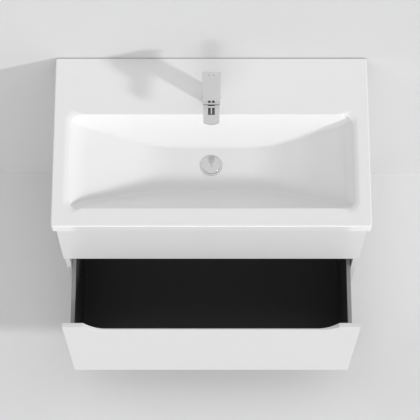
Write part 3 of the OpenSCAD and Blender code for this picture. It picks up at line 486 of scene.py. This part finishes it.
# Drawer boxes: boards in an anthracite laminate with a light grey edge profile on top of the
# sides, zinc-plated angles to the front, and a plastic shield round the cut-out for the trap.
laminate = finish("anthracite_laminate", (0.066, 0.066, 0.067), 0.42, grain=(3, 40, 3),
                  peel=(0.003, 0.00005), mottle=0.12, uneven=0.06)
edging = finish("grey_edge_profile", (0.30, 0.30, 0.31), 0.35,
                grain=(60, 2, 60), mottle=0.05, uneven=0.06)
shield = finish("matt_shield_plastic", (0.05, 0.05, 0.052), 0.6,
                peel=(0.001, 0.00005), mottle=0.08)
for level, rear_board in (("upper", "_backs"), ("lower", "_back")):
    for board in ("_side_left", "_side_right", "_bottom", rear_board):
        eased(level + board, 0.4, level + "_drawer", "drawer_board", laminate)
for level in ("upper", "lower"):
    eased("drawer_edges_" + level, 0.8, level + "_drawer", "drawer_edge", edging)
    eased(level + "_brackets", 0.4, level + "_drawer", "zinc", zinc)
angle_sheet, angle_side, angle_front, angle_end, angle_head = 2, 11, 11, 14, (3.4, 2.2, 1.6, 16)
for level in ("upper", "lower"):
    angle_low, angle_high = box_mm(level + "_brackets")
    angle_screws = []
    for side in (-1, 1):
        for z in (angle_low.z + angle_end, angle_high.z - angle_end):
            to_front = (side * (angle_high.x - angle_side), angle_low.y + angle_sheet, z)
            to_side = (side * (angle_high.x - angle_sheet), angle_low.y + angle_front, z)
            angle_screws += [(to_front, (0, 1, 0)), (to_side, (-side, 0, 0))]
    studs(level + "_bracket_screws", angle_screws, angle_head, level + "_drawer", "zinc", zinc)
eased("upper_shield", 0.5, "upper_drawer", "shield_plastic", shield)


# Fronts: boards in the same lacquer. The lower one has a finger grip along its top edge: it
# dips in a curve behind a thin lip. The upper one is bevelled behind its lower edge.
def outward(name, shape):
    """A new object from the shape, with its faces turned outwards."""
    bmesh.ops.recalc_face_normals(shape, faces=shape.faces)
    mesh = bpy.data.meshes.new(name)
    shape.to_mesh(mesh)
    shape.free()
    return object_of(name, mesh)


def lofted(name, rings):
    """A closed skin over cross-sections that follow each other, each a ring of points."""
    shape = bmesh.new()
    rings = [[shape.verts.new((x * MM, y * MM, z * MM)) for x, y, z in ring] for ring in rings]
    count = len(rings[0])
    shape.faces.new(rings[0][::-1])
    for ring, following in zip(rings, rings[1:]):
        for j in range(count):
            k = (j + 1) % count
            shape.faces.new((ring[j], following[j], following[k], ring[k]))
    shape.faces.new(rings[-1])
    return outward(name, shape)


def arc(y, z, r, start, end, steps=4):
    """Part of a round edge, from one angle to another in degrees."""
    turns = np.radians(np.linspace(start, end, steps + 1))
    return [(y + r * math.cos(a), z + r * math.sin(a)) for a in turns]


def front_board(name, section, half, middle, body, node):
    """A lacquered front from the stations of its right half: x, how deep it is cut, shrink."""
    stations = [(-x, *rest) for x, *rest in half] + [(0, middle, 0)] + half[::-1]
    rings = [[(x, y, z) for y, z in section(cut, shrink)] for x, cut, shrink in stations]
    return fit(rounded(lofted(name, rings), 28), body, "lacquer", lacquer, node)


grip_low, grip_high = box_mm("lower_front")
ease, lip, dip, grip_end, ramp, ramp_steps = 1.0, 5.0, 29.0, 55, 55.0, 24
slope = math.radians(78)
back_fall = (grip_high.y - grip_low.y - lip) * math.tan(slope)
outer = grip_high.x
grip_half = outer - grip_end
side_edge = [(outer, 0, ease * 0.7), (outer - 0.3, 0, 0.3), (outer - 1, 0, 0)]


def grip_section(drop, shrink):
    """Cross-section of the lower front where its top has dropped that far behind its lip."""
    y0, y1 = grip_low.y + shrink, grip_high.y - shrink
    z0, z1 = grip_low.z + shrink, grip_high.z - drop - shrink
    r, hollowed = ease, drop / dip
    lip_y = y1 - (grip_high.y - grip_low.y - lip) * hollowed
    return (arc(y0 + r, z0 + r, r, 180, 270) + arc(y1 - r, z0 + r, r, 270, 360)
            + arc(y1 - r, z1 - back_fall * hollowed - r, r, 0, 12)
            + arc(lip_y - r, z1 - r, r, 12, 90) + arc(y0 + r, z1 - r, r, 90, 180))


grip = side_edge + [(grip_half, 0, 0)]
for t in np.linspace(0, 1, ramp_steps + 1)[1:]:
    grip.append((grip_half - ramp * t, dip * (1 - (1 - t) ** 2), 0))
grip += [(180, dip, 0), (90, dip, 0)]
front_board("lower_front_lacquered", grip_section, grip, dip, "lower_drawer", "lower_front")

pull_low, pull_high = box_mm("upper_front")
pull, pull_run = 7, 4


def pull_section(bevel, shrink):
    """Cross-section of the upper front, with the bevel behind its lower edge."""
    y0, y1 = pull_low.y + shrink, pull_high.y - shrink
    z0, z1 = pull_low.z + shrink, pull_high.z - shrink
    r = ease
    return (arc(y0 + r, z0 + r, r, 180, 270) + arc(y1 - bevel - r, z0 + r, r, 270, 315)
            + arc(y1 - r, z0 + bevel + r, r, 315, 360) + arc(y1 - r, z1 - r, r, 0, 90)
            + arc(y0 + r, z1 - r, r, 90, 180))


bevelled = side_edge + [(grip_half + pull_run, 0, 0), (grip_half, pull, 0), (120, pull, 0)]
front_board("upper_front_lacquered", pull_section, bevelled, pull, "upper_drawer", "upper_front")

# Mixer: a chromed brass body with a flat spout, whose pocket carries painted shade (a dark chrome
# on its faces) and holds a rib and a sill, a cartridge under a lever cap with two marker dots, and
# its stud, clamp plate and nut under the deck.
brass = finish("turned_brass", (0.60, 0.42, 0.16), 0.28, metal=1.0,
               grain=(4, 4, 60), mottle=0.10, uneven=0.08)
white_plastic = finish("cartridge_plastic", (0.72, 0.73, 0.74), 0.4,
                       peel=(0.002, 0.00003), mottle=0.03)
mixer = eased("mixer_body", 0.8, "cabinet", "chrome", chrome, segments=3)
# Painted shade: a dark chrome stands in for the shade inside the spout's pocket.
pocket_shade_paint = finish("painted_pocket_shade", (0.14, 0.14, 0.145), 0.10, metal=1.0,
                peel=(0.03, 0.00003), mottle=0.05, uneven=0.03)
mixer.data.materials.append(pocket_shade_paint)
mixer_low, mixer_high = box_mm("mixer_body")
tip, spout_top = mixer_low.y, mixer_high.z
pocket_half, pocket_from, pocket_to, pocket_lip, pocket_deep = 8.8, 23.5, 58.5, 0.9, 4
# The faces inside the pocket get the painted shade.
for face in mixer.data.polygons:
    at = face.center / MM
    in_width, in_length = abs(at.x) < pocket_half, tip + pocket_from < at.y < tip + pocket_to
    if in_width and in_length and spout_top - pocket_deep < at.z < spout_top - pocket_lip:
        face.material_index = 1

rib_from, rib_to, rib_foot = 27, 44, 3.5
rib_outline = ((-2.2, 0), (-1.6, 1.3), (0, 1.9), (1.6, 1.3), (2.2, 0))
rib_rings = [[(x, y, spout_top - rib_foot + z) for x, z in rib_outline]
             for y in spread((tip + rib_from, tip + rib_to, 6))]
fit(rounded(lofted("pocket_rib", rib_rings), 50), "cabinet", "chrome", chrome)

sill_size, sill_ease, sill_behind, sill_down = (16.8, 13.4, 1.2), 0.4, 51, 3.0
shape = bmesh.new()
bmesh.ops.create_cube(shape, size=MM)
bmesh.ops.scale(shape, vec=sill_size, verts=shape.verts)
bmesh.ops.bevel(shape, geom=shape.edges, offset=sill_ease * MM, segments=2, affect="EDGES")
shape.transform(Matrix.Translation(Vector((0, tip + sill_behind, spout_top - sill_down)) * MM))
fit(rounded(outward("pocket_sill", shape), 35), "cabinet", "chrome", chrome)

eased("mixer_lever", 0.5, "lever", "chrome", chrome, segments=3)
lever_high = box_mm("mixer_lever")[1]
dot_half, dot_rear, dot_sink, dot = 6.2, 9, 0.8, (1.1, 1.1, 0.78, 24)
dots = [((side * dot_half, lever_high.y - dot_rear, lever_high.z - dot_sink), (0, 0, 1))
        for side in (-1, 1)]
studs("lever_dots", dots, dot, "lever", "rubber", black_rubber)
eased("lever_carrier", 0.6, "lever_carrier", "chrome", chrome)
eased("lever_pin", 0.3, "lever", "zinc", zinc)
eased("mixer_gasket", 0.3, "cabinet", "rubber", black_rubber)
for part in ("mixer_stud", "mixer_clamp"):
    eased(part, 0.5, "cabinet", "zinc", zinc)
for part in ("mixer_nut", "cartridge_nut"):
    eased(part, 0.6, "cabinet", "brass", brass)
for part in ("mixer_cartridge", "aerator"):
    eased(part, 0.4, "cabinet", "cartridge_plastic", white_plastic)


# Waste: a chromed flange with a threaded body through the basin, and a plug that is pressed to
# open. Its cap is turned to a shallow cone with a round tip.
def turned(name, profile, at, steps=96):
    """A turned part from its profile (radius, height), from axis to axis."""
    shape = bmesh.new()
    rings = []
    for r, z in profile:
        if r < 0.01:
            rings.append([shape.verts.new((at.x * MM, at.y * MM, z * MM))] * steps)
            continue
        turns = np.linspace(0, 2 * math.pi, steps, endpoint=False)
        circle = [(at.x + r * math.cos(a), at.y + r * math.sin(a)) for a in turns]
        rings.append([shape.verts.new((x * MM, y * MM, z * MM)) for x, y in circle])
    for lower_ring, upper_ring in zip(rings, rings[1:]):
        for i in range(steps):
            j = (i + 1) % steps
            corners = []
            for v in (lower_ring[i], lower_ring[j], upper_ring[j], upper_ring[i]):
                if v not in corners:
                    corners.append(v)
            if len(corners) > 2:
                shape.faces.new(corners)
    return outward(name, shape)


cap_low, cap_high = box_mm("plug_cap")
cap_r, cap_ease, cone_fall, tip_r, tip_rise, shoulder = cap_high.x, 0.6, 1.5, 2.6, 0.17, 1
rim_fall, rim_drop, rim_in = 1.9, 1.4, 0.3
skirt = [(0, cap_low.z), (cap_r - cap_ease, cap_low.z), (cap_r, cap_low.z + cap_ease),
         (cap_r, cap_high.z - rim_fall), (cap_r - rim_in, cap_high.z - rim_drop)]
cone = [(r, cap_high.z + tip_rise - cone_fall * math.hypot(r, tip_r) / cap_r)
        for r in np.linspace(0, cap_r - shoulder, 16)]
cap = turned("plug_cap_domed", skirt + cone[::-1], drain)
fit(rounded(cap, 50), "plug", "chrome", chrome, "plug_cap")
eased("waste_body", 0.9, "cabinet", "chrome", chrome, segments=3)
eased("plug_seal", 0.2, "plug", "rubber", black_rubber)
eased("plug_stem", 0.5, "plug", "zinc", zinc)
for part in ("waste_gasket", "waste_seal"):
    eased(part, 0.2, "cabinet", "rubber", black_rubber)
eased("waste_nut", 0.8, "cabinet", "brass", brass)

# Trap: chromed tailpiece, bottle with a cup that unscrews, union nuts and the outlet pipe. The
# nuts have ribs all round for the hand.
for part in ("tailpiece", "trap_body", "trap_outlet"):
    eased(part, 0.5, "cabinet", "chrome", chrome)
for part in ("trap_nuts", "trap_cup"):
    eased(part, 1.5, "cabinet", "chrome", chrome, segments=3)
nuts_high, trap_top = box_mm("trap_nuts")[1], box_mm("trap_body")[1].z
outlet = middle_mm("trap_outlet")
nut_r, nut_h, rib_start, rib_count = nuts_high.x, 14, 2, 24
nut_rib = (1.1, 1.0, nut_h - 2 * rib_start, 8)
ribs = []
for low, aim in ((nuts_high.z - nut_h, (0, 0, 1)), (trap_top, (0, 0, 1)),
                 (nuts_high.y - nut_h, (0, 1, 0))):
    for a in np.linspace(0, 2 * math.pi, rib_count, endpoint=False):
        u, v, along = nut_r * math.cos(a), nut_r * math.sin(a), low + rib_start
        at = (u, drain.y + v, along) if aim[2] else (u, along, outlet.z + v)
        ribs.append((at, aim))
studs("trap_nut_ribs", ribs, nut_rib, "cabinet", "chrome", chrome)


# Room: a pale floor and a pale wall that the vanity stands against. The wall is seen from its
# front only, and its part behind the cabinet lets the room's light reach the open back.
def sheet_of(name, paint, *quads):
    """A flat painted sheet of one or more quads, in metres."""
    mesh = bpy.data.meshes.new(name)
    corners = [corner for quad in quads for corner in quad]
    mesh.from_pydata(corners, [], [tuple(range(k, k + 4)) for k in range(0, len(corners), 4)])
    mesh.materials.append(paint)
    made = object_of(name, mesh)
    return made


def plaster(name, colour):
    """A matt paint that is seen from its front and lets light through from behind."""
    made = finish(name, colour, 0.9, peel=(0.004, 0.0001), mottle=0.01)
    tree = made.node_tree
    face = tree.nodes.new("ShaderNodeNewGeometry")
    clear = tree.nodes.new("ShaderNodeBsdfTransparent")
    mix = tree.nodes.new("ShaderNodeMixShader")
    tree.links.new(face.outputs["Backfacing"], mix.inputs["Fac"])
    tree.links.new(tree.nodes["Principled BSDF"].outputs["BSDF"], mix.inputs[1])
    tree.links.new(clear.outputs["BSDF"], mix.inputs[2])
    tree.links.new(mix.outputs["Shader"], tree.nodes["Material Output"].inputs["Surface"])
    return made


far, wall_height, wall_gap = 9, 6, 0.0015
wall_y = cad_box[1].y + wall_gap
pale_floor = plaster("pale_floor", (0.765, 0.765, 0.77))
sheet_of("floor", pale_floor, [(-far, -far, 0), (far, -far, 0), (far, far, 0), (-far, far, 0)])


def wall_part(x0, x1, z0, z1):
    return [(x0, wall_y, z0), (x1, wall_y, z0), (x1, wall_y, z1), (x0, wall_y, z1)]


pale_wall = plaster("pale_wall", (0.635, 0.635, 0.64))
behind_x, behind_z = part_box("basin")[1].x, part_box("basin")[1].z
sheet_of("wall", pale_wall, wall_part(-far, -behind_x, 0, wall_height),
         wall_part(behind_x, far, 0, wall_height),
         wall_part(-behind_x, behind_x, behind_z, wall_height))
behind = sheet_of("wall_behind_cabinet", pale_wall, wall_part(-behind_x, behind_x, 0, behind_z))
behind.visible_diffuse = False


# Light: a large soft box in front, a key from the right in front that is small enough to draw the
# mixer's shadow, a weak low lamp from the front, and an even pale room.
def lamp(name, toward, strength, spread_angle):
    """A far lamp that shines from that direction. A wide one is too soft to show in gloss."""
    made = bpy.data.objects.new(name, bpy.data.lights.new(name, "SUN"))
    bpy.context.scene.collection.objects.link(made)
    made.data.energy = strength
    made.data.angle = math.radians(spread_angle)
    made.visible_glossy = spread_angle < 30
    made.rotation_euler = Vector(toward).to_track_quat("Z", "Y").to_euler()


lamp("soft_box", (-0.06, -1.0, 0.8), 1.1, 60)
lamp("key", (2.07, -1.27, 1.0), 1.6, 5)
lamp("low_front", (0.0, -1.0, 0.12), 0.30, 12)

room_light, room_seen = 0.38, 0.80
world = bpy.data.worlds.new("room")
bpy.context.scene.world = world
world.use_nodes = True
tree = world.node_tree
glow = tree.nodes["Background"]
path = tree.nodes.new("ShaderNodeLightPath")
seen = path.outputs["Is Camera Ray"]
for ray in ("Is Glossy Ray", "Is Transmission Ray"):
    either = tree.nodes.new("ShaderNodeMath")
    either.operation = "MAXIMUM"
    tree.links.new(seen, either.inputs[0])
    tree.links.new(path.outputs[ray], either.inputs[1])
    seen = either.outputs["Value"]
level = tree.nodes.new("ShaderNodeMapRange")
level.inputs["To Min"].default_value = room_light
level.inputs["To Max"].default_value = room_seen
tree.links.new(seen, level.inputs["Value"])
tree.links.new(level.outputs["Result"], glow.inputs["Strength"])
glow.inputs["Color"].default_value = (1, 1, 1, 1)
